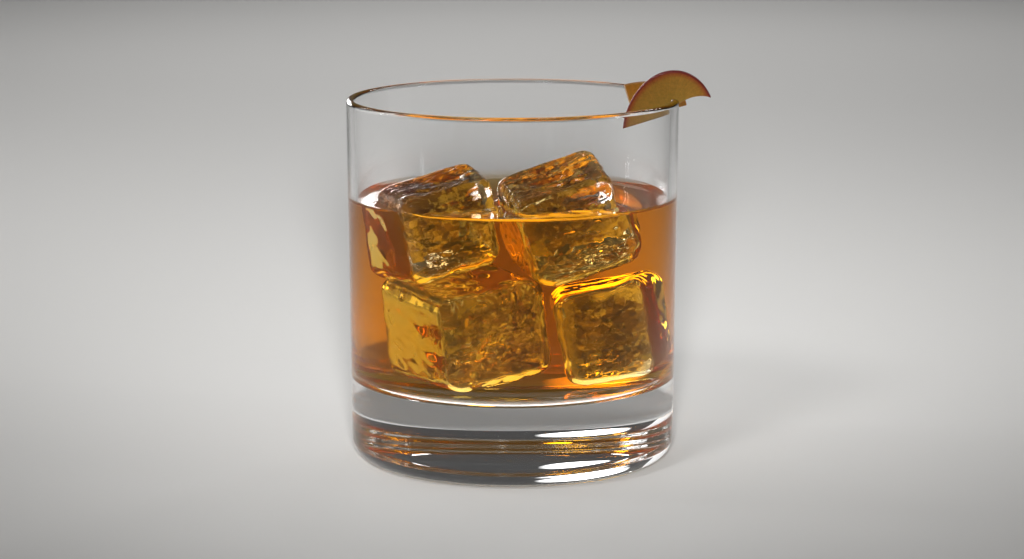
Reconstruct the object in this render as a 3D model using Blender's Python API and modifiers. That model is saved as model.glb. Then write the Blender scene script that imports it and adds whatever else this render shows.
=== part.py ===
"""Bourbon cobbler: a straight tumbler of bourbon over ice, with two fruit slices on its rim.

Units are metres and +Z is up. The origin is the centre of the tumbler's flat underside.
"""

import math

import bmesh
import bpy
from mathutils import Matrix, Vector

GAP = 0.0003  # clearance between pieces that touch
TURN_STEPS = 96  # facets round the tumbler
MERGE = 0.00001

# Tumbler
HEIGHT = 0.0945
RIM_RADIUS = 0.0430
FOOT_RADIUS = 0.0421
LIP_THICKNESS = 0.0021
WALL_THICKNESS = 0.0026  # where the wall meets the floor
HEEL_RADIUS = 0.0060
FLOOR_Z = 0.0203
FLOOR_CORNER = 0.0075
ARC_STEPS = 6

# Bourbon
FILL_Z = 0.0682
MENISCUS_RISE = 0.0011
MENISCUS_REACH = 0.0036

# Ice: size, centre, turns in degrees about Z, then X, then Y, and how far melting has shifted
# a corner from the square, keyed by its side of X, Y and Z
ICE_EDGE_RADIUS = 0.0042
ICE_EDGE_STEPS = 4
ICE_CUBES = {
    "ice_cube_left": {
        "size": (0.0246, 0.0249, 0.0246),
        "centre": (-0.0180, -0.0146, 0.0634),
        "yaw": 20.6,
        "pitch": 6.2,
        "roll": -12.4,
        "corner_drift": {
            (1, 1, 1): (0.0031, -0.0012, -0.0003),
            (1, -1, 1): (-0.0002, 0.0, -0.0008),
            (-1, -1, -1): (0.0006, 0.0, 0.0016),
            (1, -1, -1): (-0.0013, 0.0007, 0.0021),
        },
    },
    "ice_cube_right": {
        "size": (0.0260, 0.0250, 0.0242),
        "centre": (0.0122, -0.0120, 0.0654),
        "yaw": 13.7,
        "pitch": 16.2,
        "roll": -13.9,
        "corner_drift": {
            (1, 1, 1): (0.0024, -0.0007, -0.0004),
            (-1, 1, 1): (0.0001, -0.0003, -0.0010),
        },
    },
}
DISH_LENGTH = 0.0170  # melted hollow in the top of each cube
DISH_WIDTH = 0.0100
DISH_DEPTH = 0.0009

# Fruit slices, each in its own plane: X along the cut edge, Z towards the skin. The skin is part
# of an oval, whose long radius leans from X by skin_lean degrees
SLICE_STEPS = 72
SLICE_EDGE_ROUND = 0.0004
SLICE_CORE_SHARE = 0.72  # thickness at the cut edge as a share of that at the skin
CUT_Z = -0.0007
SLIT_FOOT_Z = 0.0800
FRONT_SLICE = {
    "skin_centre": (-0.0012, -0.0041),
    "skin_radii": (0.0151, 0.0118),
    "skin_lean": 59.0,
    "skin_top": 0.0103,
    "thickness": 0.0026,
    "from_axis": 0.0404,
    "centre_z": 0.0912,
    "tilt": 18.0,
    "azimuth": -5.0,
}
REAR_SLICE = {
    "skin_centre": (0.0, 0.0),
    "skin_radii": (0.0142, 0.0086),
    "skin_lean": 0.0,
    "skin_top": 0.0086,
    "thickness": 0.0026,
    "from_axis": 0.0318,
    "centre_z": 0.0890,
    "tilt": 14.0,
    "azimuth": 8.0,
}
REAR_END_LEAN = 3.0  # degrees between the rear slice's square end and its height
CORE_HOLLOW_AT = (0.0066, -0.0012)  # centre of the hollow in the front slice's cut edge
CORE_HOLLOW_RADII = (0.0056, 0.0030)

GLASS = {"colour": (0.93, 0.95, 0.95, 0.35), "roughness": 0.02, "transmission": 1.0}
BOURBON = {"colour": (0.78, 0.36, 0.05, 0.60), "roughness": 0.03, "transmission": 0.9}
ICE = {"colour": (0.95, 0.92, 0.85, 0.50), "roughness": 0.08, "transmission": 0.9}
FRUIT = {"colour": (0.80, 0.52, 0.12, 1.0), "roughness": 0.45, "transmission": 0.0}


def clear_scene():
    for obj in list(bpy.data.objects):
        bpy.data.objects.remove(obj, do_unlink=True)


def new_collection(name):
    collection = bpy.data.collections.new(name)
    bpy.context.scene.collection.children.link(collection)
    return collection


def new_material(name, finish):
    material = bpy.data.materials.new(name)
    material.use_nodes = True
    shader = material.node_tree.nodes["Principled BSDF"]
    shader.inputs["Base Color"].default_value = finish["colour"]
    shader.inputs["Roughness"].default_value = finish["roughness"]
    shader.inputs["Metallic"].default_value = 0.0
    shader.inputs["Transmission Weight"].default_value = finish["transmission"]
    material.diffuse_color = finish["colour"]
    return material


def new_object(name, bm, collection, material=None):
    mesh = bpy.data.meshes.new(name)
    bm.to_mesh(mesh)
    bm.free()
    mesh.shade_smooth()
    obj = bpy.data.objects.new(name, mesh)
    collection.objects.link(obj)
    if material:
        mesh.materials.append(material)
    else:
        obj.hide_render = True
        obj.display_type = "WIRE"
    return obj


def arc(centre, radius, start, end, steps=ARC_STEPS):
    """Points of an arc in the XZ plane, angles in degrees from +X."""
    points = []
    for step in range(steps + 1):
        angle = math.radians(start + (end - start) * step / steps)
        points.append((centre[0] + radius * math.cos(angle), centre[1] + radius * math.sin(angle)))
    return points


def turned(name, profile, collection, material=None, loop=False):
    """A profile in the XZ plane turned about Z. Its outer side runs from top to bottom."""
    bm = bmesh.new()
    verts = [bm.verts.new((x, 0.0, z)) for x, z in profile]
    for first, second in zip(verts, verts[1:]):
        bm.edges.new((first, second))
    if loop:
        bm.edges.new((verts[-1], verts[0]))
    obj = new_object(name, bm, collection, material)
    screw = obj.modifiers.new("Turn", "SCREW")
    screw.axis = "Z"
    screw.angle = math.tau
    screw.steps = TURN_STEPS
    screw.render_steps = TURN_STEPS
    screw.use_merge_vertices = True
    screw.merge_threshold = MERGE
    return obj


def cut(obj, cutter):
    boolean = obj.modifiers.new("Cut " + cutter.name, "BOOLEAN")
    boolean.operation = "DIFFERENCE"
    boolean.solver = "EXACT"
    boolean.object = cutter


def inner_radius(z):
    """Radius of the tumbler's inner wall between the floor corner and the lip."""
    low_z = FLOOR_Z + FLOOR_CORNER
    high_z = HEIGHT - LIP_THICKNESS / 2
    share = (z - low_z) / (high_z - low_z)
    return (FOOT_RADIUS - WALL_THICKNESS) * (1 - share) + (RIM_RADIUS - LIP_THICKNESS) * share


def lip_arc(grown=0.0):
    """Half round over the lip, from its inner side to its outer side."""
    half = LIP_THICKNESS / 2
    return arc((RIM_RADIUS - half, HEIGHT - half), half + grown, 180, 0)


def floor_corner(inset=0.0):
    """Round between floor and inner wall, from the floor up."""
    wall = FOOT_RADIUS - WALL_THICKNESS
    return arc((wall - FLOOR_CORNER, FLOOR_Z + FLOOR_CORNER), FLOOR_CORNER - inset, -90, 0)


def make_tumbler(collection):
    profile = [(0.0, FLOOR_Z)]
    profile += floor_corner()
    profile += lip_arc()
    profile += arc((FOOT_RADIUS - HEEL_RADIUS, HEEL_RADIUS), HEEL_RADIUS, 0, -90)
    profile.append((0.0, 0.0))
    return turned("tumbler", profile, collection, new_material("clear_glass", GLASS))


def make_bourbon(collection):
    """The liquid: a level surface that climbs the wall in a meniscus, down to the rounded floor."""
    wall = inner_radius(FILL_Z + MENISCUS_RISE) - GAP
    profile = [(0.0, FILL_Z)]
    for step in range(ARC_STEPS + 1):
        share = step / ARC_STEPS
        climb = MENISCUS_RISE * share**3
        profile.append((wall - MENISCUS_REACH * (1 - share), FILL_Z + climb))
    profile += reversed(floor_corner(inset=GAP))
    profile.append((0.0, FLOOR_Z + GAP))
    return turned("bourbon", profile, collection, new_material("bourbon", BOURBON))


def ice_block(name, cube, grown, collection, material=None):
    """A cube with rounded edges, larger than its size by grown on every side."""
    bm = bmesh.new()
    bmesh.ops.create_cube(bm, size=1.0)
    bmesh.ops.scale(bm, verts=bm.verts, vec=Vector(cube["size"]) + Vector((1, 1, 1)) * 2 * grown)
    for vert in bm.verts:
        corner = tuple(round(math.copysign(1, value)) for value in vert.co)
        vert.co += Vector(cube["corner_drift"].get(corner, (0, 0, 0)))
    obj = new_object(name, bm, collection, material)
    obj.location = cube["centre"]
    obj.rotation_mode = "ZXY"
    obj.rotation_euler = [math.radians(cube[turn]) for turn in ("pitch", "roll", "yaw")]
    bevel = obj.modifiers.new("Rounded edges", "BEVEL")
    bevel.width = ICE_EDGE_RADIUS + grown
    bevel.segments = ICE_EDGE_STEPS
    bevel.profile = 0.5
    return obj


def melt_dish(name, cube_object, size, cutters):
    """A shallow oval scoop that the melting leaves in the top of a cube."""
    bm = bmesh.new()
    bmesh.ops.create_uvsphere(bm, u_segments=24, v_segments=12, radius=1.0)
    scoop = Vector((DISH_LENGTH, DISH_WIDTH, 6 * DISH_DEPTH))
    bmesh.ops.scale(bm, verts=bm.verts, vec=scoop / 2)
    bmesh.ops.translate(bm, verts=bm.verts, vec=(0, 0, size[2] / 2 + 2 * DISH_DEPTH))
    obj = new_object(name, bm, cutters)
    obj.parent = cube_object
    return obj


def make_ice(collection, cutters, bourbon):
    material = new_material("ice", ICE)
    for name, cube in ICE_CUBES.items():
        block = ice_block(name, cube, 0.0, collection, material)
        cut(block, melt_dish(name + "_dish", block, cube["size"], cutters))
        cut(bourbon, ice_block(name + "_pocket", cube, GAP, cutters))


def slice_placement(fruit):
    """From the slice's own plane to its place across the rim."""
    turn = Matrix.Rotation(math.radians(fruit["azimuth"]), 4, "Z")
    place = Matrix.Translation((fruit["from_axis"], 0, fruit["centre_z"]))
    return turn @ place @ Matrix.Rotation(-math.radians(fruit["tilt"]), 4, "Y")


def upright_disc(bm, radii, depth, steps=SLICE_STEPS):
    """An oval disc that stands in the XZ plane, its thickness along Y."""
    bmesh.ops.create_cone(
        bm, cap_ends=True, segments=steps, radius1=1.0, radius2=1.0, depth=depth
    )
    bmesh.ops.rotate(bm, verts=bm.verts, matrix=Matrix.Rotation(math.pi / 2, 3, "X"))
    bmesh.ops.scale(bm, verts=bm.verts, vec=(radii[0], 1.0, radii[1]))


def keep_side(bm, point, outward):
    """Cuts the mesh by a plane, drops what lies on the outward side and closes the cut."""
    geometry = bm.verts[:] + bm.edges[:] + bm.faces[:]
    found = bmesh.ops.bisect_plane(
        bm, geom=geometry, dist=MERGE, plane_co=point, plane_no=outward, clear_outer=True
    )
    edges = [item for item in found["geom_cut"] if isinstance(item, bmesh.types.BMEdge)]
    bmesh.ops.edgeloop_fill(bm, edges=edges)


def make_slice(name, fruit, collection, material, slit, end_lean=None):
    """A half-moon slice, thinner at its cut edge, with a slit that sits over the rim."""
    bm = bmesh.new()
    upright_disc(bm, fruit["skin_radii"], fruit["thickness"])
    lean = Matrix.Rotation(-math.radians(fruit["skin_lean"]), 3, "Y")
    bmesh.ops.rotate(bm, verts=bm.verts, matrix=lean)
    centre_x, centre_z = fruit["skin_centre"]
    bmesh.ops.translate(bm, verts=bm.verts, vec=(centre_x, 0, centre_z))
    keep_side(bm, (0, 0, CUT_Z), (0, 0, -1))
    if end_lean is not None:
        off = math.radians(end_lean)
        keep_side(bm, (0, 0, 0), (-math.cos(off), 0, -math.sin(off)))
    for vert in bm.verts:
        height = (vert.co.z - CUT_Z) / (fruit["skin_top"] - CUT_Z)
        vert.co.y *= SLICE_CORE_SHARE + (1 - SLICE_CORE_SHARE) * height
    bmesh.ops.recalc_face_normals(bm, faces=bm.faces)
    obj = new_object(name, bm, collection, material)
    obj.matrix_world = slice_placement(fruit)
    bevel = obj.modifiers.new("Eased edges", "BEVEL")
    bevel.width = SLICE_EDGE_ROUND
    bevel.segments = 2
    bevel.limit_method = "ANGLE"
    bevel.angle_limit = math.radians(40)
    cut(obj, slit)
    return obj


def make_core_hollow(fruit, cutters):
    """Cutter for the shallow hollow that the stone left in the cut edge."""
    bm = bmesh.new()
    upright_disc(bm, CORE_HOLLOW_RADII, 3 * fruit["thickness"], steps=48)
    at = (CORE_HOLLOW_AT[0], 0, CORE_HOLLOW_AT[1])
    bmesh.ops.translate(bm, verts=bm.verts, vec=at)
    obj = new_object("core_hollow", bm, cutters)
    obj.matrix_world = slice_placement(fruit)
    return obj


def make_slit(cutters):
    """Cutter that follows the lip and the upper wall with a clearance."""
    wall_out = RIM_RADIUS + GAP
    profile = [(inner_radius(SLIT_FOOT_Z) - GAP, SLIT_FOOT_Z)]
    profile += lip_arc(grown=GAP)
    profile.append((wall_out, SLIT_FOOT_Z))
    return turned("rim_slit", profile, cutters, loop=True)


def make_garnish(collection, cutters):
    material = new_material("fruit", FRUIT)
    slit = make_slit(cutters)
    front = make_slice("fruit_slice_front", FRONT_SLICE, collection, material, slit)
    cut(front, make_core_hollow(FRONT_SLICE, cutters))
    make_slice("fruit_slice_rear", REAR_SLICE, collection, material, slit, REAR_END_LEAN)


def main():
    clear_scene()
    parts = new_collection("bourbon_cobbler")
    cutters = new_collection("cutters")
    make_tumbler(parts)
    bourbon = make_bourbon(parts)
    make_ice(parts, cutters, bourbon)
    make_garnish(parts, cutters)


main()
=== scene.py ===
"""Bourbon cobbler: a straight tumbler of bourbon, four ice cubes and two fruit slices on its rim.

Units are metres and +Z is up. The origin is the centre of the tumbler's flat underside.
"""

import math

import bmesh
import bpy
from mathutils import Matrix, Vector, noise


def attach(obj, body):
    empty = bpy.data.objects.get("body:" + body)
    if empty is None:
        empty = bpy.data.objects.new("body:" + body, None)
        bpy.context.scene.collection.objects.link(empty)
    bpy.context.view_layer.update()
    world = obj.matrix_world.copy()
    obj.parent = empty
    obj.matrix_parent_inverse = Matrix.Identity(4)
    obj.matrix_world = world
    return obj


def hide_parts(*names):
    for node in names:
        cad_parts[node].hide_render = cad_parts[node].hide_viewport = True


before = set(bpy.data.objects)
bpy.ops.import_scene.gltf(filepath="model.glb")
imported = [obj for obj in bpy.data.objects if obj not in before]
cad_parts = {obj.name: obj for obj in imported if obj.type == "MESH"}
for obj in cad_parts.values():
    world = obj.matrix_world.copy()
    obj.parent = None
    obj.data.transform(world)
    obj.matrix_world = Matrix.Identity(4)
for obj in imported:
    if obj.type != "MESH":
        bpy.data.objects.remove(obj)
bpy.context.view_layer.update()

MM = 0.001
MERGE = 0.000001
CREASE_ANGLE = 42  # degrees, edges sharper than this are shaded as creases

# Tumbler
HEIGHT = 0.0945
RIM_RADIUS = 0.0430
FOOT_RADIUS = 0.0421
LIP_THICKNESS = 0.0021
WALL_THICKNESS = 0.0026  # where the wall meets the floor
HEEL_RADIUS = 0.0060
FLOOR_Z = 0.0203
FLOOR_CORNER = 0.0075
GLASS_TURN_STEPS = 256
GLASS_ARC_STEPS = 14

# Bourbon
FILL_Z = 0.0682
MENISCUS_RISE = 0.0011
MENISCUS_REACH = 0.0036
MENISCUS_STEPS = 12
MENISCUS_CURVE = 4  # power of its climb across the reach
INTO_WALL = 0.00012  # how far the bourbon reaches into the glass, so that no air shows between them
POOL_RINGS = 60
ICE_CLIMB = 0.0009  # how far the bourbon climbs the ice
ICE_CLIMB_REACH = 0.0011
BOURBON_TINT = (0.96, 0.775, 0.02)
BOURBON_DENSITY = 105.0  # of the tint, per metre
BOURBON_PAINTED_GLOW = (1.0, 0.58, 0.0)  # painted glow: the bourbon emits this light itself, in place of light scattered within it, which keeps its deepest parts golden
BOURBON_PAINTED_GLOW_STRENGTH = 0.014

# Ice
ICE_EDGE_RADIUS = 0.0042
ICE_EDGE_SPREAD = 0.22  # how far that radius strays, as a share of it
ICE_CUTS = 79
POCKET_CUTS = 47
TOP_DISH = 0.9  # mm, the hollow that the melting leaves in a cube's top
SIDE_DISH = 0.35
FLAT_POWER = 10  # how fast the dish and the scallops fade towards a cube's rounded edges
# Scallops: cells in mm for faces across X, Y and Z, depth in mm, and where the face lies in it
SCALLOP_CELLS = ((4.5, 3.2, 3.2), (5.5, 4.0, 2.6), (9.0, 2.7, 4.0))
SCALLOP_DEPTH = 1.1
SCALLOP_BED = 0.4
SCALLOP_PATCHES = (0.45, 0.8, 0.6)  # least share of the depth, usual share, and its swing
SCALLOP_SEED = 17
FINE_SEED = 23
FINE_CELLS = (2.6, 1.8, 1.8)
FINE_DEPTH = 0.22
# Waves: what is added to the cube's seed, then cells and height in mm. The first two have no
# height of their own, because they vary the edge radius and the depth of the scallops
EDGE_WAVE = (50, (14, 14, 14))
PATCH_WAVE = (31, (7, 7, 7))
BODY_WAVE = (0, (15, 8, 8), 0.22)
RIPPLE_WAVE = (9, (6, 3, 3), 0.10)
RIPPLE_SINK = 0.05  # mm
POCKET_WAVES = ((70, (4.5, 4.5, 4.5), 0.34), (81, (2.2, 2.2, 2.2), 0.14))
# Cubes: size, centre, turns in degrees about Z, then X, then Y, and how far melting has shifted
# a corner from the square, keyed by its side of X, Y and Z. Each long hollow in a cube's top has
# its place in X and Y, half length, half width, turn in degrees and depth, in mm
ICE_CUBES = {
    "ice_left": {
        "size": (0.0246, 0.0249, 0.0246),
        "centre": (-0.0180, -0.0146, 0.0634),
        "yaw": 20.6,
        "pitch": 6.2,
        "roll": -12.4,
        "corner_drift": {
            (1, 1, 1): (0.0031, -0.0012, -0.0003),
            (1, -1, 1): (-0.0002, 0.0, -0.0008),
            (-1, -1, -1): (0.0006, 0.0, 0.0016),
            (1, -1, -1): (-0.0013, 0.0007, 0.0021),
        },
        "hollows": ((2.3, 2.5, 7.4, 2.2, -46, 1.1), (-3.6, -4.5, 5.2, 2.2, -33, 1.1)),
        "seed": 3.1,
        "replaces": "ice_cube_left",
    },
    "ice_right": {
        "size": (0.0260, 0.0250, 0.0242),
        "centre": (0.0122, -0.0120, 0.0654),
        "yaw": 13.7,
        "pitch": 16.2,
        "roll": -13.9,
        "corner_drift": {
            (1, 1, 1): (0.0024, -0.0007, -0.0004),
            (-1, 1, 1): (0.0001, -0.0003, -0.0010),
        },
        "hollows": ((-0.7, -0.3, 6.4, 1.7, -9, 1.2), (0.5, -5.5, 7.3, 1.7, -19, 1.2)),
        "seed": 11.7,
        "replaces": "ice_cube_right",
    },
    "ice_low_left": {
        "size": (0.0260, 0.0261, 0.0266),
        "centre": (-0.0101, -0.0081, 0.0372),
        "yaw": 32.9,
        "pitch": 13.5,
        "roll": -6.1,
        "corner_drift": {
            (1, 1, 1): (-0.0001, 0.0005, 0.0012),
            (-1, -1, 1): (-0.0009, 0.0006, 0.0),
            (1, -1, 1): (0.0007, -0.0006, -0.0006),
            (-1, 1, -1): (0.0009, -0.0005, 0.0002),
        },
        "seed": 23.9,
    },
    "ice_low_right": {
        "size": (0.0228, 0.0257, 0.0253),
        "centre": (0.0208, -0.0088, 0.0365),
        "yaw": 5.0,
        "pitch": 0.6,
        "roll": -9.8,
        "corner_drift": {
            (-1, -1, 1): (0.0003, 0.0, -0.0007),
            (1, -1, 1): (-0.0007, 0.0, 0.0003),
            (-1, -1, -1): (0.0, 0.0, 0.0006),
        },
        "seed": 37.3,
    },
}
# Painted shade on the ice's flats: dark warm brown in place of the dark surroundings seen through
# them, clear where the ramp reaches white
ICE_PAINTED_SHADE = ((0.45, (0.18, 0.105, 0.045)), (0.60, (1.0, 0.99, 0.97)))  # place on the ramp, colour
FLAT_SHARE = "flat_share"  # attribute on the ice: 1 on a cube's flats and 0 on its rounded edges
FLAT_SHARE_POWER = 8
POCKET_GAP = 0.00035  # the bourbon's pocket has waves of its own this far outside the ice

# Fruit slices, each in its own plane: X along the cut edge, Z towards the skin. The skin is part
# of an oval, whose long radius leans from X by skin_lean degrees
CUT_Z = -0.0007
SLICE_CORE_SHARE = 0.72  # thickness at the cut edge as a share of that at the skin
SLICE_RINGS = [ring * 0.032 for ring in range(31)] + [0.972, 0.98, 0.987, 0.993, 0.997, 1.0]
SLICE_STEPS = 240
SLICE_EDGE_ROUND = 0.0004
SLICE_EDGE_SEAMS = 4
SLICE_RIPPLE = 0.00007
SLICE_RIPPLE_CELL = 0.0022
SLIT_FOOT_Z = 0.0800
SLIT_GAP = 0.0001
FRONT_SLICE = {
    "skin_centre": (-0.0012, -0.0041),
    "skin_radii": (0.0151, 0.0118),
    "skin_lean": 59.0,
    "skin_top": 0.0103,
    "thickness": 0.0026,
    "from_axis": 0.0404,
    "centre_z": 0.0912,
    "tilt": 18.0,
    "azimuth": -5.0,
    "tip_trim": 0.0001,
    "hollow_at": (0.0066, -0.0012),
    "hollow_radii": (0.0056, 0.0030),
}
REAR_SLICE = {
    "skin_centre": (0.0, 0.0),
    "skin_radii": (0.0142, 0.0086),
    "skin_lean": 0.0,
    "skin_top": 0.0086,
    "thickness": 0.0026,
    "from_axis": 0.0318,
    "centre_z": 0.0890,
    "tilt": 14.0,
    "azimuth": 8.0,
    "end_lean": 3.0,
}
# Flesh from the slice's centre outwards: place, colour. The blush and the skin come after it
FLESH_RAMP = [(0.0, (0.74, 0.40, 0.055)), (0.45, (0.80, 0.45, 0.065)), (0.86, (0.78, 0.38, 0.050))]
BLUSH_AT = 0.945
SKIN_AT = (0.978, 1.0)
RED_SKIN = (0.36, 0.035, 0.022)
RED_BLUSH = (0.66, 0.15, 0.035)
PALE_SKIN = (0.70, 0.30, 0.035)
PALE_BLUSH = (0.76, 0.36, 0.045)
STONE_MARK = (0.10, 0.035, 0.012)

# Studio. A lamp stands at its distance from its aim, in the direction that its azimuth and
# elevation give. Azimuth 0 is on the camera's side and 90 is to the right. Angles are in degrees
FLOOR_GAP = 0.00005
FLOOR_HALF = 6.0
GLASS_CENTRE = (0, 0, 0.05)
LAMPS = {
    "key_front": {
        "azimuth": 0,
        "elevation": 0,
        "distance": 0.92,
        "size": (0.12, 0.12),
        "watts": 4.2,
        "aim": (0, 0, 0.28),
        "spread": 40,
    },
    "panel_far": {
        "azimuth": 180,
        "elevation": 89.9,
        "distance": 1.2,
        "size": (0.9, 0.5),
        "watts": 0.40,
        "aim": (0, 1.15, 0),
        "spread": 50,
    },
    "panel_left": {
        "azimuth": -118,
        "elevation": 12,
        "distance": 0.75,
        "size": (0.50, 0.6),
        "watts": 0.8,
    },
    "panel_right": {
        "azimuth": 97,
        "elevation": 12,
        "distance": 0.75,
        "size": (0.40, 0.8),
        "watts": 0.3,
    },
    "strip_left": {
        "azimuth": -100,
        "elevation": 16,
        "distance": 0.80,
        "size": (0.03, 0.45),
        "watts": 0.6,
    },
    "strip_right": {
        "azimuth": 75,
        "elevation": 14,
        "distance": 0.80,
        "size": (0.03, 0.45),
        "watts": 0.5,
    },
    "glow_below": {  # in the gap under the tumbler, for the light that a lit floor returns
        "azimuth": 0,
        "elevation": -90,
        "distance": GLASS_CENTRE[2] + FLOOR_GAP / 2,
        "size": (0.072, 0.072),
        "watts": 0.018,
    },
    "glow_behind": {
        "azimuth": -160,
        "elevation": 8,
        "distance": 1.40,
        "size": (0.8, 0.34),
        "watts": 0.17,
        "spread": 30,
    },
    "glint_back": {
        "azimuth": 170,
        "elevation": 58,
        "distance": 1.10,
        "size": (0.10, 0.10),
        "watts": 0.35,
    },
    "glint_back_left": {
        "azimuth": -142,
        "elevation": 30,
        "distance": 1.10,
        "size": (0.05, 0.25),
        "watts": 0.45,
    },
    "glint_back_right": {
        "azimuth": 148,
        "elevation": 34,
        "distance": 1.10,
        "size": (0.05, 0.25),
        "watts": 0.45,
    },
    "panel_fruit": {
        "azimuth": -30,
        "elevation": 40,
        "distance": 1.0,
        "size": (0.25, 0.25),
        "watts": 0.08,
        "aim": (0.03, 0, 0.09),
        "spread": 30,
    },
}
KEY_SPARES = ("tumbler_glass", "slice_front", "slice_rear")
STUDIO_FILL = 0.06
EYE = (0, -0.8365, 0.1957)
EYE_DOWN = 10.1  # degrees
LENS = 114.43
SENSOR = 36
SHIFT = -0.0005


# ---------------------------------------------------------------- helpers
def finished(name, bm, material=None, slot=None, replaces=None):
    """Turns a bmesh into a smooth mesh. With a slot it becomes a piece that rides on the body."""
    mesh = bpy.data.meshes.new(name)
    bm.to_mesh(mesh)
    bm.free()
    mesh.shade_smooth()
    piece = bpy.data.objects.new(name, mesh)
    bpy.context.scene.collection.objects.link(piece)
    if material:
        mesh.materials.append(material)
    if slot:
        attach(piece, "root")
    if replaces:
        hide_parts(replaces)
    return piece


def arc(centre, radius, start, end, steps=GLASS_ARC_STEPS):
    """Points of an arc in the XZ plane, angles in degrees from +X."""
    points = []
    for step in range(steps + 1):
        angle = math.radians(start + (end - start) * step / steps)
        points.append((centre[0] + radius * math.cos(angle), centre[1] + radius * math.sin(angle)))
    return points


def straight(start, end):
    """Points along a straight run. Those near its ends keep the shading flat between them."""
    shares = (0.002, 0.01, 0.04, 0.1, 0.2, 0.3, 0.4, 0.5, 0.6, 0.7, 0.8, 0.9, 0.96, 0.99, 0.998)
    return [
        (start[0] + (end[0] - start[0]) * share, start[1] + (end[1] - start[1]) * share)
        for share in shares
    ]


def joined(*runs):
    """One profile from several runs of points, with a straight run across each gap."""
    profile = list(runs[0])
    for run in runs[1:]:
        profile += straight(profile[-1], run[0])
        profile += run
    return profile


def turned(profile, steps=GLASS_TURN_STEPS):
    """A closed bmesh: the profile in the XZ plane spun about Z."""
    bm = bmesh.new()
    verts = [bm.verts.new((x, 0.0, z)) for x, z in profile]
    edges = [bm.edges.new(pair) for pair in zip(verts, verts[1:])]
    bmesh.ops.spin(
        bm,
        geom=verts + edges,
        cent=(0, 0, 0),
        axis=(0, 0, 1),
        angle=math.tau,
        steps=steps,
        use_merge=True,
    )
    bmesh.ops.remove_doubles(bm, verts=bm.verts, dist=MERGE)
    bmesh.ops.recalc_face_normals(bm, faces=bm.faces)
    return bm


def inner_radius(z):
    """Radius of the tumbler's inner wall between the floor corner and the lip."""
    low_z = FLOOR_Z + FLOOR_CORNER
    high_z = HEIGHT - LIP_THICKNESS / 2
    share = (z - low_z) / (high_z - low_z)
    return (FOOT_RADIUS - WALL_THICKNESS) * (1 - share) + (RIM_RADIUS - LIP_THICKNESS) * share


def lip_arc(grown=0.0):
    half = LIP_THICKNESS / 2
    return arc((RIM_RADIUS - half, HEIGHT - half), half + grown, 180, 0)


def floor_corner(outset=0.0):
    wall = FOOT_RADIUS - WALL_THICKNESS
    return arc((wall - FLOOR_CORNER, FLOOR_Z + FLOOR_CORNER), FLOOR_CORNER + outset, -90, 0)


# ---------------------------------------------------------------- materials
def new_material(name):
    material = bpy.data.materials.new(name)
    material.use_nodes = True
    nodes = material.node_tree.nodes
    return material, nodes, material.node_tree.links, nodes["Principled BSDF"]


def add_bump(nodes, links, shader, height, strength, distance):
    bump = nodes.new("ShaderNodeBump")
    bump.inputs["Strength"].default_value = strength
    bump.inputs["Distance"].default_value = distance
    links.new(height, bump.inputs["Height"])
    links.new(bump.outputs["Normal"], shader.inputs["Normal"])


def object_noise(nodes, links, scale, stretch=(1, 1, 1), detail=2.0, roughness=0.5, swirl=0.0):
    coordinates = nodes.new("ShaderNodeTexCoord")
    mapping = nodes.new("ShaderNodeMapping")
    mapping.inputs["Scale"].default_value = stretch
    texture = nodes.new("ShaderNodeTexNoise")
    texture.inputs["Scale"].default_value = scale
    texture.inputs["Detail"].default_value = detail
    texture.inputs["Roughness"].default_value = roughness
    texture.inputs["Distortion"].default_value = swirl
    links.new(coordinates.outputs["Object"], mapping.inputs["Vector"])
    links.new(mapping.outputs["Vector"], texture.inputs["Vector"])
    return texture.outputs["Fac"]


def remap(nodes, links, value, low, high):
    node = nodes.new("ShaderNodeMapRange")
    node.inputs["To Min"].default_value = low
    node.inputs["To Max"].default_value = high
    links.new(value, node.inputs["Value"])
    return node.outputs["Result"]


def glass_material():
    material, nodes, links, shader = new_material("clear_tumbler_glass")
    shader.inputs["Base Color"].default_value = (1, 1, 1, 1)
    shader.inputs["Transmission Weight"].default_value = 1.0
    shader.inputs["IOR"].default_value = 1.5
    shader.inputs["Specular Tint"].default_value = (0.5, 0.5, 0.5, 1)
    haze = object_noise(nodes, links, scale=60)
    links.new(remap(nodes, links, haze, low=0.0, high=0.012), shader.inputs["Roughness"])
    waves = object_noise(nodes, links, scale=55, stretch=(1, 1, 0.35), detail=1.0)
    add_bump(nodes, links, shader, waves, strength=0.25, distance=0.0002)
    return material


def bourbon_material():
    material, nodes, links, shader = new_material("amber_bourbon")
    shader.inputs["Base Color"].default_value = (1, 1, 1, 1)
    shader.inputs["Transmission Weight"].default_value = 1.0
    shader.inputs["IOR"].default_value = 1.36
    shader.inputs["Roughness"].default_value = 0.0
    shader.inputs["Specular Tint"].default_value = (0, 0, 0, 1)
    # Painted glow: the bourbon gives off a faint golden light of its own
    shader.inputs["Emission Color"].default_value = (*BOURBON_PAINTED_GLOW, 1)
    shader.inputs["Emission Strength"].default_value = BOURBON_PAINTED_GLOW_STRENGTH
    ripples = object_noise(nodes, links, scale=90, detail=1.0)
    add_bump(nodes, links, shader, ripples, strength=0.15, distance=0.0002)
    absorption = nodes.new("ShaderNodeVolumeAbsorption")
    absorption.inputs["Color"].default_value = (*BOURBON_TINT, 1)
    absorption.inputs["Density"].default_value = BOURBON_DENSITY
    links.new(absorption.outputs["Volume"], nodes["Material Output"].inputs["Volume"])
    return material


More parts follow.
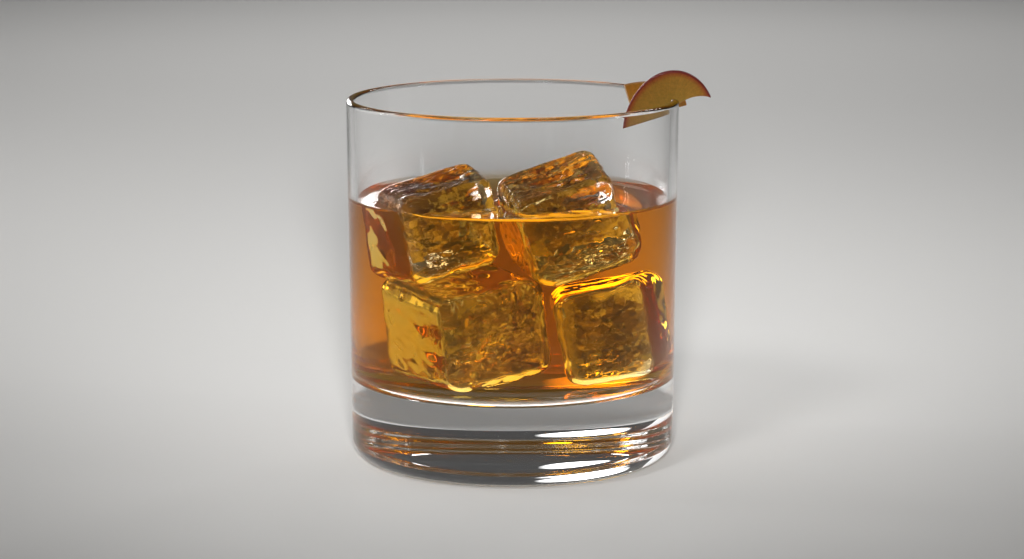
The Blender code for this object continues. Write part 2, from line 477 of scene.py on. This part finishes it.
def ice_material():
    material, nodes, links, shader = new_material("melting_ice")
    shader.inputs["Transmission Weight"].default_value = 1.0
    shader.inputs["IOR"].default_value = 1.31
    frost = object_noise(nodes, links, scale=260, detail=3.0)
    links.new(remap(nodes, links, frost, low=0.0, high=0.06), shader.inputs["Roughness"])
    ripples = object_noise(nodes, links, scale=700, detail=2.0)
    add_bump(nodes, links, shader, ripples, strength=0.35, distance=0.0001)

    # The flats carry painted shade, dark warm patches standing in for the dark surroundings seen
    # through them, with clear flecks, and the rounded edges stay clear
    patches = object_noise(nodes, links, scale=120, detail=1.0)
    specks = object_noise(nodes, links, scale=520, detail=2.0, swirl=0.8)
    flecks = nodes.new("ShaderNodeMath")
    links.new(specks, flecks.inputs[0])
    links.new(remap(nodes, links, patches, low=-0.42, high=0.36), flecks.inputs[1])
    # Painted shade: dark where the ramp is low, clear where it turns white
    ramp = nodes.new("ShaderNodeValToRGB")
    for element, (place, colour) in zip(ramp.color_ramp.elements, ICE_PAINTED_SHADE):
        element.position = place
        element.color = (*colour, 1)
    links.new(flecks.outputs["Value"], ramp.inputs["Fac"])
    flat = nodes.new("ShaderNodeAttribute")
    flat.attribute_name = FLAT_SHARE
    mix = nodes.new("ShaderNodeMix")
    mix.data_type = "RGBA"
    mix.inputs["A"].default_value = (1, 1, 1, 1)
    links.new(ramp.outputs["Color"], mix.inputs["B"])
    links.new(flat.outputs["Fac"], mix.inputs["Factor"])
    links.new(mix.outputs["Result"], shader.inputs["Base Color"])
    return material


def flesh_material(name, skin, blush, stone_mark):
    """Juicy flesh with a thin skin. The UV map has the slice's centre at 0 and its skin at 1."""
    material, nodes, links, shader = new_material(name)
    plane = nodes.new("ShaderNodeUVMap")
    reach = nodes.new("ShaderNodeVectorMath")
    reach.operation = "LENGTH"
    links.new(plane.outputs["UV"], reach.inputs[0])
    wander = object_noise(nodes, links, scale=350, detail=3.0)
    uneven = nodes.new("ShaderNodeMath")
    links.new(reach.outputs["Value"], uneven.inputs[0])
    links.new(remap(nodes, links, wander, low=-0.012, high=0.012), uneven.inputs[1])
    ramp = nodes.new("ShaderNodeValToRGB")
    stops = FLESH_RAMP + [(BLUSH_AT, blush)] + [(place, skin) for place in SKIN_AT]
    while len(ramp.color_ramp.elements) < len(stops):
        ramp.color_ramp.elements.new(0.5)
    for element, (place, colour) in zip(ramp.color_ramp.elements, stops):
        element.position = place
        element.color = (*colour, 1)
    links.new(uneven.outputs["Value"], ramp.inputs["Fac"])
    colour = ramp.outputs["Color"]

    ray = nodes.new("ShaderNodeVectorMath")
    ray.operation = "NORMALIZE"
    links.new(plane.outputs["UV"], ray.inputs[0])
    fibres = nodes.new("ShaderNodeTexNoise")
    fibres.inputs["Scale"].default_value = 22
    fibres.inputs["Detail"].default_value = 3
    links.new(ray.outputs["Vector"], fibres.inputs["Vector"])
    grain = object_noise(nodes, links, scale=1300, detail=4.0, roughness=0.6)
    for pattern, low, high in ((fibres.outputs["Fac"], 0.86, 1.10), (grain, 0.72, 1.22)):
        shade = nodes.new("ShaderNodeVectorMath")
        shade.operation = "SCALE"
        links.new(colour, shade.inputs[0])
        links.new(remap(nodes, links, pattern, low, high), shade.inputs["Scale"])
        colour = shade.outputs["Vector"]
    if stone_mark:
        colour = add_stone_mark(nodes, links, plane.outputs["UV"], colour)
    links.new(colour, shader.inputs["Base Color"])
    links.new(remap(nodes, links, grain, low=0.28, high=0.55), shader.inputs["Roughness"])
    shader.inputs["Subsurface Weight"].default_value = 0.2
    shader.inputs["Subsurface Radius"].default_value = (0.0025, 0.0012, 0.0004)
    shader.inputs["Subsurface Scale"].default_value = 1.0
    shader.inputs["Coat Weight"].default_value = 0.25
    shader.inputs["Coat Roughness"].default_value = 0.12
    add_bump(nodes, links, shader, grain, strength=0.6, distance=0.00025)
    return material


def add_stone_mark(nodes, links, plane, colour):
    """A small brown scar on the cut edge, where the stone sat."""
    centred = nodes.new("ShaderNodeMapping")
    centred.inputs["Location"].default_value = (-8.67, -1.11, 0)
    centred.inputs["Scale"].default_value = (21.6, 21.5, 1)
    links.new(plane, centred.inputs["Vector"])
    distance = nodes.new("ShaderNodeVectorMath")
    distance.operation = "LENGTH"
    links.new(centred.outputs["Vector"], distance.inputs[0])
    torn = object_noise(nodes, links, scale=1500)
    ragged = nodes.new("ShaderNodeMath")
    links.new(distance.outputs["Value"], ragged.inputs[0])
    links.new(remap(nodes, links, torn, low=-0.6, high=0.6), ragged.inputs[1])
    mix = nodes.new("ShaderNodeMix")
    mix.data_type = "RGBA"
    mix.inputs["B"].default_value = (*STONE_MARK, 1)
    edge = nodes.new("ShaderNodeMapRange")
    edge.inputs["From Min"].default_value = 1.2
    edge.inputs["From Max"].default_value = 0.7
    edge.inputs["To Max"].default_value = 0.9
    links.new(ragged.outputs["Value"], edge.inputs["Value"])
    links.new(edge.outputs["Result"], mix.inputs["Factor"])
    links.new(colour, mix.inputs["A"])
    return mix.outputs["Result"]


def floor_material():
    material, nodes, links, shader = new_material("pale_floor")
    shader.inputs["Base Color"].default_value = (0.80, 0.79, 0.77, 1)
    shader.inputs["Roughness"].default_value = 0.8
    shader.inputs["Specular IOR Level"].default_value = 0.0
    grain = object_noise(nodes, links, scale=40, detail=2.0)
    add_bump(nodes, links, shader, grain, strength=0.02, distance=0.001)
    return material


# ---------------------------------------------------------------- tumbler and bourbon
def make_tumbler():
    heel = arc((FOOT_RADIUS - HEEL_RADIUS, HEEL_RADIUS), HEEL_RADIUS, 0, -90)
    profile = joined([(0.0, FLOOR_Z)], floor_corner(), lip_arc(), heel, [(0.0, 0.0)])
    finished("tumbler_glass", turned(profile), glass_material(), "clear_glass", "tumbler")


def distance_to_cube(point, cube):
    """Signed distance from a point to a cube with rounded edges."""
    local = ice_placement(cube).inverted() @ point
    core = Vector(cube["size"]) / 2 - Vector((ICE_EDGE_RADIUS,) * 3)
    beyond = Vector([max(abs(local[axis]) - core[axis], 0.0) for axis in range(3)])
    return beyond.length - ICE_EDGE_RADIUS


def make_bourbon():
    wall = inner_radius(FILL_Z + MENISCUS_RISE) + INTO_WALL
    flat = wall - MENISCUS_REACH
    top = [(flat * ring / POOL_RINGS, FILL_Z) for ring in range(POOL_RINGS)]
    for step in range(MENISCUS_STEPS + 1):
        share = step / MENISCUS_STEPS
        climb = MENISCUS_RISE * share**MENISCUS_CURVE
        top.append((flat + MENISCUS_REACH * share, FILL_Z + climb))
    corner = floor_corner(outset=INTO_WALL)[::-1]
    bm = turned(joined(top, corner, [(0.0, FLOOR_Z - INTO_WALL)]))
    floating = [ICE_CUBES["ice_left"], ICE_CUBES["ice_right"]]
    for vert in bm.verts:
        on_top = vert.co.z > FILL_Z - 0.01 * MM
        if on_top and vert.co.to_2d().length < wall - 0.1 * MM:
            near = min(distance_to_cube(vert.co, cube) for cube in floating)
            vert.co.z += ICE_CLIMB * math.exp(-max(near, 0.0) / ICE_CLIMB_REACH)
    pour = finished("bourbon_pour", bm, bourbon_material(), "bourbon", "bourbon")
    pockets = []
    for name, cube in ICE_CUBES.items():
        pocket = finished(name + "_pocket", cube_of_ice(cube, rippled=False, grown=POCKET_GAP))
        cut(pour, pocket)
        pockets.append(pocket)
    bake_modifiers(pour)
    for pocket in pockets:
        bpy.data.objects.remove(pocket, do_unlink=True)


def cut(piece, cutter):
    boolean = piece.modifiers.new("Cut", "BOOLEAN")
    boolean.operation = "DIFFERENCE"
    boolean.solver = "EXACT"
    boolean.object = cutter


def bake_modifiers(piece):
    """Puts the result of the piece's modifiers into its mesh."""
    depsgraph = bpy.context.evaluated_depsgraph_get()
    mesh = bpy.data.meshes.new_from_object(piece.evaluated_get(depsgraph))
    mesh.set_sharp_from_angle(angle=math.radians(CREASE_ANGLE))
    piece.modifiers.clear()
    piece.data = mesh


# ---------------------------------------------------------------- ice
def ice_placement(cube):
    turn = Matrix.Rotation(math.radians(cube["roll"]), 4, "Y")
    turn = turn @ Matrix.Rotation(math.radians(cube["pitch"]), 4, "X")
    turn = turn @ Matrix.Rotation(math.radians(cube["yaw"]), 4, "Z")
    return Matrix.Translation(cube["centre"]) @ turn


def noise_place(point, seed, cell):
    """A point in noise space. cell is a wave's length in mm along each of the cube's own axes."""
    scaled = Vector([point[axis] / (cell[axis] * MM) for axis in range(3)])
    return scaled + Vector((seed, seed * 0.7, -seed))


def swell(point, seed, cell):
    """A smooth wave between -1 and 1."""
    return noise.noise(noise_place(point, seed, cell))


def wave(point, seed, kind):
    """One of the named waves at a point, in the unit of its height."""
    added, cell, height = kind
    return height * swell(point, seed + added, cell)


def scallop(point, seed, cell):
    """Hollows that meet in sharp ridges: 0 in the middle of a hollow, towards 1 on a ridge."""
    distances, _ = noise.voronoi(noise_place(point, seed, cell))
    return distances[0] ** 2


def drifted(point, half, drifts):
    """Carries a point along with the cube's corners, each by its share."""
    moved = point.copy()
    for corner, drift in drifts.items():
        share = math.prod(0.5 + 0.5 * corner[axis] * point[axis] / half[axis] for axis in range(3))
        moved += Vector(drift) * share
    return moved


def top_hollow(point, cube):
    """Depth of the long hollows in a cube's top at a point, in mm."""
    depth = 0.0
    for x, y, half_length, half_width, turn, deepest in cube.get("hollows", ()):
        angle = math.radians(turn)
        beside, behind = point.x / MM - x, point.y / MM - y
        along = (beside * math.cos(angle) + behind * math.sin(angle)) / half_length
        across = (behind * math.cos(angle) - beside * math.sin(angle)) / half_width
        inside = 1 - along**2 - across**2
        if inside > 0:
            depth = max(depth, deepest * inside**0.8)
    return depth


def melt(bm, cube, rippled, grown):
    """Rounds the cube's edges, then washes waves, scallops and a shallow dish into its faces."""
    half = Vector(cube["size"]) / 2
    seed = cube["seed"]
    flat_share = bm.verts.layers.float.new(FLAT_SHARE)
    for vert in bm.verts:
        start = vert.co.copy()
        radius = ICE_EDGE_RADIUS * (1 + wave(start, seed, (*EDGE_WAVE, ICE_EDGE_SPREAD)))
        core = Vector([max(radius - half[i], min(half[i] - radius, start[i])) for i in range(3)])
        outward = (start - core).normalized()
        surface = core + outward * radius
        straightest = max(abs(outward[axis]) for axis in range(3))
        vert[flat_share] = straightest**FLAT_SHARE_POWER
        move = wave(surface, seed, BODY_WAVE)
        if rippled and outward[2] > 0.5:
            move -= outward[2] * top_hollow(surface, cube)
        for axis in range(3):
            flat = abs(outward[axis]) ** FLAT_POWER
            across = surface[(axis + 1) % 3] / half[(axis + 1) % 3]
            up = surface[(axis + 2) % 3] / half[(axis + 2) % 3]
            bowl = max(0.0, 1 - across**2) * max(0.0, 1 - up**2)
            depth = TOP_DISH if outward[2] > 0.9 else SIDE_DISH
            move -= flat * depth * bowl
            if rippled:
                least, usual, swing = SCALLOP_PATCHES
                patch = max(least, usual + wave(surface, seed, (*PATCH_WAVE, swing)))
                coarse = scallop(surface, seed + SCALLOP_SEED, SCALLOP_CELLS[axis])
                fine = scallop(surface, seed + FINE_SEED, FINE_CELLS)
                move += flat * patch * SCALLOP_DEPTH * (coarse - SCALLOP_BED)
                move += flat * FINE_DEPTH * (fine - SCALLOP_BED)
        if rippled:
            move += wave(surface, seed, RIPPLE_WAVE) - RIPPLE_SINK
        else:
            move += sum(wave(surface, seed, each) for each in POCKET_WAVES)
        vert.co = drifted(surface, half, cube["corner_drift"]) + outward * (move * MM + grown)


def cube_of_ice(cube, rippled=True, grown=0.0):
    bm = bmesh.new()
    bmesh.ops.create_cube(bm, size=1.0)
    cuts = ICE_CUTS if rippled else POCKET_CUTS
    bmesh.ops.subdivide_edges(bm, edges=bm.edges, cuts=cuts, use_grid_fill=True)
    bmesh.ops.scale(bm, vec=Vector(cube["size"]), verts=bm.verts)
    melt(bm, cube, rippled, grown)
    bmesh.ops.transform(bm, matrix=ice_placement(cube), verts=bm.verts)
    bmesh.ops.recalc_face_normals(bm, faces=bm.faces)
    return bm


def make_ice(name, cube, material):
    finished(name, cube_of_ice(cube), material, "ice", cube.get("replaces"))


# ---------------------------------------------------------------- fruit
def slice_placement(fruit):
    """From the slice's own plane to its place across the rim."""
    turn = Matrix.Rotation(math.radians(fruit["azimuth"]), 4, "Z")
    place = Matrix.Translation((fruit["from_axis"], 0, fruit["centre_z"]))
    return turn @ place @ Matrix.Rotation(-math.radians(fruit["tilt"]), 4, "Y")


def skin_line(x, fruit):
    """Height of the skin's oval above x."""
    long, short = fruit["skin_radii"]
    lean = math.radians(fruit["skin_lean"])
    cos, sin = math.cos(lean), math.sin(lean)
    beside = x - fruit["skin_centre"][0]
    # (beside*cos + z*sin)^2 / long^2 + (z*cos - beside*sin)^2 / short^2 = 1, solved for z
    square = (sin / long) ** 2 + (cos / short) ** 2
    linear = beside * sin * cos * (1 / long**2 - 1 / short**2)
    rest = (beside * cos / long) ** 2 + (beside * sin / short) ** 2 - 1
    root = max(0.0, linear**2 - square * rest)
    return fruit["skin_centre"][1] + (math.sqrt(root) - linear) / square


def cut_line(x, fruit):
    """Height of the cut edge at x, raised where the stone left a hollow."""
    if "hollow_at" not in fruit:
        return CUT_Z
    beside = (x - fruit["hollow_at"][0]) / fruit["hollow_radii"][0]
    arch = fruit["hollow_at"][1] + fruit["hollow_radii"][1] * math.sqrt(max(0.0, 1 - beside**2))
    return max(CUT_Z, arch)


def seam(bm, point, outward, clear=False):
    """Cuts a flat mesh by a plane."""
    geometry = bm.verts[:] + bm.edges[:] + bm.faces[:]
    bmesh.ops.bisect_plane(
        bm, geom=geometry, dist=MERGE, plane_co=point, plane_no=outward, clear_outer=clear
    )


def keep_side(bm, point, outward):
    """Cuts a flat mesh by a plane and drops what lies on the outward side."""
    seam(bm, point, outward, clear=True)


def edge_round(distance):
    """How far a face draws back at this distance from its rim."""
    beyond = max(0.0, SLICE_EDGE_ROUND - distance)
    return SLICE_EDGE_ROUND - math.sqrt(max(0.0, SLICE_EDGE_ROUND**2 - beyond**2))


def skin_reach(x, z, fruit):
    """Where a point lies on the oval: 0 at its centre and 1 on the skin."""
    long, short = fruit["skin_radii"]
    lean = math.radians(fruit["skin_lean"])
    beside, above = x - fruit["skin_centre"][0], z - fruit["skin_centre"][1]
    along = beside * math.cos(lean) + above * math.sin(lean)
    across = above * math.cos(lean) - beside * math.sin(lean)
    return math.hypot(along / long, across / short)


def flat_slice(fruit):
    """The slice's face as a flat mesh. Its UV map has the oval's centre at 0 and the skin at 1."""
    bm = bmesh.new()
    spokes = [bm.verts.new((radius, 0, 0)) for radius in SLICE_RINGS]
    edges = [bm.edges.new(pair) for pair in zip(spokes, spokes[1:])]
    bmesh.ops.spin(
        bm,
        geom=spokes + edges,
        cent=(0, 0, 0),
        axis=(0, 1, 0),
        angle=math.tau,
        steps=SLICE_STEPS,
        use_merge=True,
    )
    bmesh.ops.remove_doubles(bm, verts=bm.verts, dist=MERGE)
    plane = bm.loops.layers.uv.new("plane")
    for face in bm.faces:
        for loop in face.loops:
            loop[plane].uv = (loop.vert.co.x, loop.vert.co.z)
    long, short = fruit["skin_radii"]
    centre_x, centre_z = fruit["skin_centre"]
    bmesh.ops.scale(bm, verts=bm.verts, vec=(long, 1.0, short))
    lean = Matrix.Rotation(-math.radians(fruit["skin_lean"]), 3, "Y")
    bmesh.ops.rotate(bm, verts=bm.verts, matrix=lean)
    bmesh.ops.translate(bm, verts=bm.verts, vec=(centre_x, 0, centre_z))
    keep_side(bm, (0, 0, CUT_Z), (0, 0, -1))
    for step in range(1, SLICE_EDGE_SEAMS + 1):
        seam(bm, (0, 0, CUT_Z + SLICE_EDGE_ROUND * (step / SLICE_EDGE_SEAMS) ** 2), (0, 0, 1))
    if "end_lean" in fruit:
        off = math.radians(fruit["end_lean"])
        keep_side(bm, (0, 0, 0), (-math.cos(off), 0, -math.sin(off)))
    if "tip_trim" in fruit:
        tip = max(vert.co.x for vert in bm.verts) - fruit["tip_trim"]
        keep_side(bm, (tip, 0, 0), (1, 0, 0))
    for vert in bm.verts:
        top = max(skin_line(vert.co.x, fruit), vert.co.z)
        low = min(cut_line(vert.co.x, fruit), top)
        share = (vert.co.z - CUT_Z) / max(top - CUT_Z, MERGE)
        vert.co.z = low + (top - low) * min(share, 1.0)
    return bm


def make_slice(name, fruit, material, slit, replaces):
    bm = flat_slice(fruit)
    grown = bmesh.ops.extrude_face_region(bm, geom=bm.faces[:], use_keep_orig=True)
    far_side = [item for item in grown["geom"] if isinstance(item, bmesh.types.BMVert)]
    bmesh.ops.translate(bm, verts=bm.verts, vec=(0, -fruit["thickness"] / 2, 0))
    bmesh.ops.translate(bm, verts=far_side, vec=(0, fruit["thickness"], 0))
    bmesh.ops.recalc_face_normals(bm, faces=bm.faces)
    for vert in bm.verts:
        x, _, z = vert.co
        height = (z - CUT_Z) / (fruit["skin_top"] - CUT_Z)
        thick = fruit["thickness"] * (SLICE_CORE_SHARE + (1 - SLICE_CORE_SHARE) * height)
        to_skin = (1 - skin_reach(x, z, fruit)) * fruit["skin_radii"][1]
        to_rim = min(to_skin, z - cut_line(x, fruit))
        ripple = noise.noise(vert.co / SLICE_RIPPLE_CELL) * SLICE_RIPPLE
        side = math.copysign(1, vert.co.y)
        vert.co.y = side * (thick / 2 - edge_round(max(0.0, to_rim)) + ripple)
    bmesh.ops.transform(bm, matrix=slice_placement(fruit), verts=bm.verts)
    bmesh.ops.recalc_face_normals(bm, faces=bm.faces)
    piece = finished(name, bm, material, "fruit", replaces)
    cut(piece, slit)
    bake_modifiers(piece)
    return piece


def make_slit():
    """Cutter that follows the lip and the upper wall, for the slit that sits over the rim."""
    profile = [(inner_radius(SLIT_FOOT_Z) - SLIT_GAP, SLIT_FOOT_Z)]
    profile += lip_arc(grown=SLIT_GAP)
    profile.append((RIM_RADIUS + SLIT_GAP, SLIT_FOOT_Z))
    profile.append(profile[0])
    return finished("rim_slit", turned(profile))


# ---------------------------------------------------------------- stage
def make_floor():
    bm = bmesh.new()
    bmesh.ops.create_grid(bm, x_segments=1, y_segments=1, size=FLOOR_HALF)
    bmesh.ops.translate(bm, verts=bm.verts, vec=(0, 0, -FLOOR_GAP))
    floor = finished("floor", bm, floor_material())


def area_light(name, azimuth, elevation, distance, size, watts, aim=GLASS_CENTRE, spread=180):
    """A soft oval panel that faces its aim."""
    light = bpy.data.lights.new(name, "AREA")
    light.shape = "ELLIPSE"
    light.size, light.size_y = size
    light.energy = watts
    light.spread = math.radians(spread)
    lamp = bpy.data.objects.new(name, light)
    bpy.context.scene.collection.objects.link(lamp)
    a, e = math.radians(azimuth), math.radians(elevation)
    away = Vector((math.sin(a) * math.cos(e), -math.cos(a) * math.cos(e), math.sin(e)))
    lamp.location = Vector(aim) + away * distance
    lamp.rotation_euler = away.to_track_quat("Z", "Y").to_euler()
    lamp.visible_camera = False


def spare(lamp, names):
    """Keeps a lamp's light off these pieces."""
    pieces = bpy.data.collections.new(lamp + "_spared")
    for name in names:
        pieces.objects.link(bpy.data.objects[name])
    bpy.data.objects[lamp].light_linking.receiver_collection = pieces
    for member in pieces.collection_objects:
        member.light_linking.link_state = "EXCLUDE"


def make_stage():
    scene = bpy.context.scene
    make_floor()
    world = bpy.data.worlds.new("studio")
    scene.world = world
    world.use_nodes = True
    background = world.node_tree.nodes["Background"]
    background.inputs["Color"].default_value = (1, 1, 1, 1)
    background.inputs["Strength"].default_value = STUDIO_FILL
    for name, lamp in LAMPS.items():
        area_light(name, **lamp)
    spare("key_front", KEY_SPARES)

    camera = bpy.data.cameras.new("camera")
    camera.sensor_width = SENSOR
    camera.lens = LENS
    camera.shift_x = SHIFT
    eye = bpy.data.objects.new("camera", camera)
    scene.collection.objects.link(eye)
    eye.location = EYE
    eye.rotation_euler = (math.radians(90 - EYE_DOWN), 0, 0)
    scene.camera = eye

    scene.view_settings.view_transform = "Standard"
    scene.cycles.max_bounces = 32
    scene.cycles.transmission_bounces = 32
    scene.cycles.glossy_bounces = 16
    scene.cycles.transparent_max_bounces = 16
    scene.cycles.diffuse_bounces = 4
    scene.cycles.sample_clamp_indirect = 8
    scene.cycles.use_denoising = True


def main():
    make_tumbler()
    frozen = ice_material()
    for name, cube in ICE_CUBES.items():
        make_ice(name, cube, frozen)
    make_bourbon()
    slit = make_slit()
    red_skin = flesh_material("red_skinned_flesh", RED_SKIN, RED_BLUSH, stone_mark=True)
    pale_skin = flesh_material("golden_flesh", PALE_SKIN, PALE_BLUSH, stone_mark=False)
    make_slice("slice_front", FRONT_SLICE, red_skin, slit, "fruit_slice_front")
    make_slice("slice_rear", REAR_SLICE, pale_skin, slit, "fruit_slice_rear")
    bpy.data.objects.remove(slit, do_unlink=True)
    make_stage()


main()
